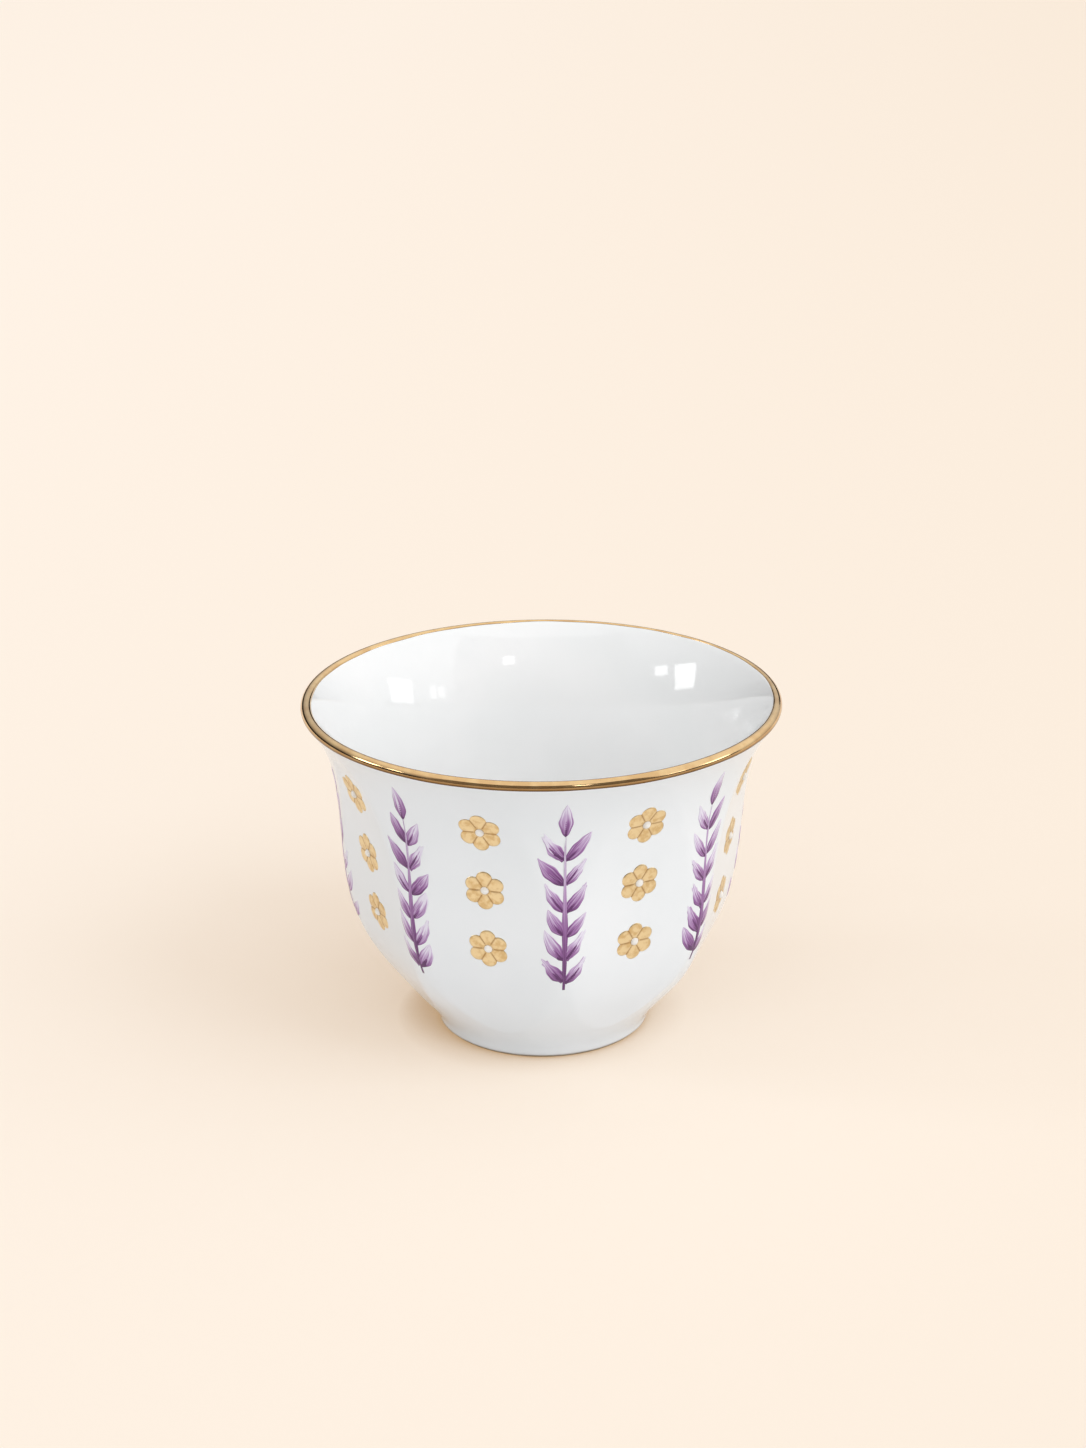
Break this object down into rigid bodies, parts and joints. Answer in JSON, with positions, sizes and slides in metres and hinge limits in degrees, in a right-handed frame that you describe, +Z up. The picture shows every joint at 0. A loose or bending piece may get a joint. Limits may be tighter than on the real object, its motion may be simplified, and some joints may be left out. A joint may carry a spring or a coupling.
{
  "type": "arabic coffee cup",
  "caption": "Small handleless porcelain coffee cup with soft panels, a flared gilded lip, a foot ring, and painted leaf sprays between gold rosettes.",
  "frame": {"origin": "middle of the foot's resting edge, on the surface the cup stands on", "axes": "+Z up through the mouth; one of the outside's ridges faces -Y"},
  "size_m": [0.07, 0.07, 0.051],
  "materials": {
    "bare_porcelain": "matte",
    "white_glaze": "gloss",
    "lip_gold": "polished",
    "rosette_gold": "satin",
    "purple_enamel": "gloss",
    "white_enamel": "gloss"
  },
  "bodies": {
    "root": {"body": "bare_porcelain", "glaze": "white_glaze", "foot_glaze": "white_glaze", "rim_gilding": "lip_gold", "leaf_spray_1": "purple_enamel", "leaf_spray_2": "purple_enamel", "leaf_spray_3": "purple_enamel", "leaf_spray_4": "purple_enamel", "leaf_spray_5": "purple_enamel", "leaf_spray_6": "purple_enamel", "leaf_spray_7": "purple_enamel", "leaf_spray_8": "purple_enamel", "rosette_column_1": "rosette_gold", "rosette_column_2": "rosette_gold", "rosette_column_3": "rosette_gold", "rosette_column_4": "rosette_gold", "rosette_column_5": "rosette_gold", "rosette_column_6": "rosette_gold", "rosette_column_7": "rosette_gold", "rosette_column_8": "rosette_gold", "bead_column_1": "white_enamel", "bead_column_2": "white_enamel", "bead_column_3": "white_enamel", "bead_column_4": "white_enamel", "bead_column_5": "white_enamel", "bead_column_6": "white_enamel", "bead_column_7": "white_enamel", "bead_column_8": "white_enamel"}
  },
  "joints": []
}
